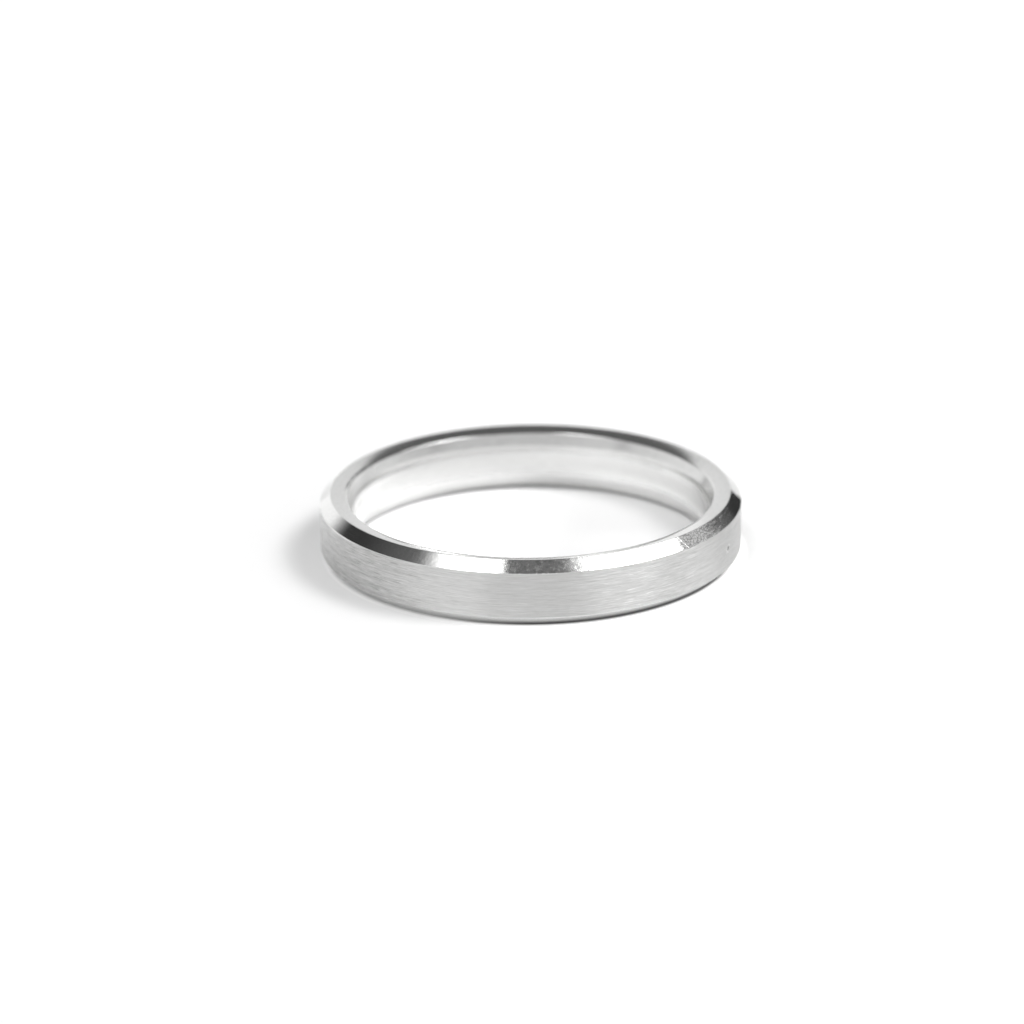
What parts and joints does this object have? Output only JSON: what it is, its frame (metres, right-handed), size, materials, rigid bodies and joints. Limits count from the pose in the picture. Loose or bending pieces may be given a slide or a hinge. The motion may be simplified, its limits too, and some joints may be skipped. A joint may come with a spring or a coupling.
{
  "type": "wedding band",
  "caption": "Plain flat-faced finger ring with a satin-brushed outer face, polished bevelled edges, softly crowned edge faces and a chamfered, softened bore, closed by a flush soldered seam.",
  "frame": {"origin": "centre of the finger hole at half the band's width", "axes": "+Z along the finger hole, so the band lies flat on its lower edge face; -Y is taken as the front; the soldered seam is 23.3 degrees from +X towards -Y"},
  "size_m": [0.0194, 0.0194, 0.003],
  "materials": {
    "band_metal": "white precious metal: outer face satin-brushed round the band, bevels, edge faces, inner chamfers and bore polished",
    "seam_solder": "hard white solder, filed flush and finished with the band"
  },
  "bodies": {
    "root": {"band_shank": "band_metal", "solder_seam": "seam_solder"}
  },
  "joints": []
}
